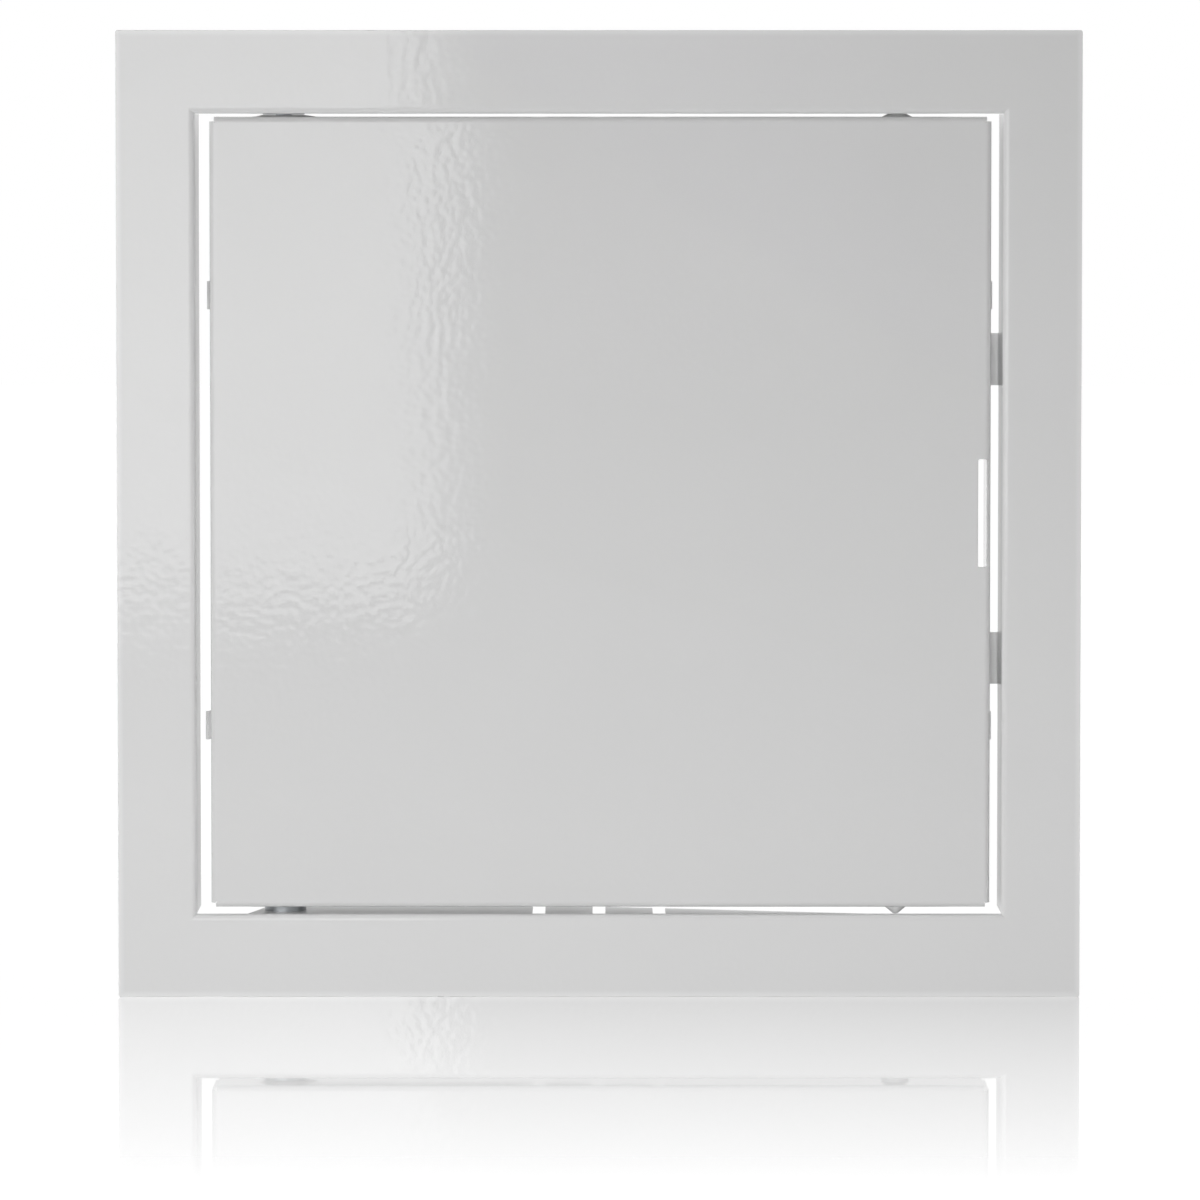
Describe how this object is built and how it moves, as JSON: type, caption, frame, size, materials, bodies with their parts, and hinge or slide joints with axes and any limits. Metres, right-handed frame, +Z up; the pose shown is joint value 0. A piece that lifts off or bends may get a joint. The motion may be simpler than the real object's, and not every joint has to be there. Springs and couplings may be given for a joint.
{
  "type": "ceiling access panel",
  "caption": "Square sheet-steel access panel for a ceiling or wall: a flanged one-piece frame with a shallow collar and a riveted, side-hinged tray door with a pull slot and a snap catch.",
  "frame": {"origin": "middle of the cut-out, in the plane of the flange's back face that lies against the board", "axes": "+X to the right along the face, +Z up the face as it stands in the picture, +Y back into the board, so the face looks along -Y"},
  "size_m": [0.239, 0.0209, 0.24],
  "materials": {
    "powder_coat": "gloss white powder coat with a light orange peel",
    "zinc": "bright zinc plate"
  },
  "bodies": {
    "frame": {"frame": "powder_coat", "upper_hinge_rivet": "zinc", "lower_hinge_rivet": "zinc", "upper_hinge_spacer": "zinc", "lower_hinge_spacer": "zinc", "upper_rivet_washer": "zinc", "lower_rivet_washer": "zinc"},
    "door": {"door_panel": "powder_coat"}
  },
  "joints": [
    {"name": "door_swing", "type": "hinge", "parent": "frame", "child": "door", "pos_m": [-0.0784, 0.01, 0], "axis": [0, 0, -1], "range_deg": [0, 127]}
  ]
}
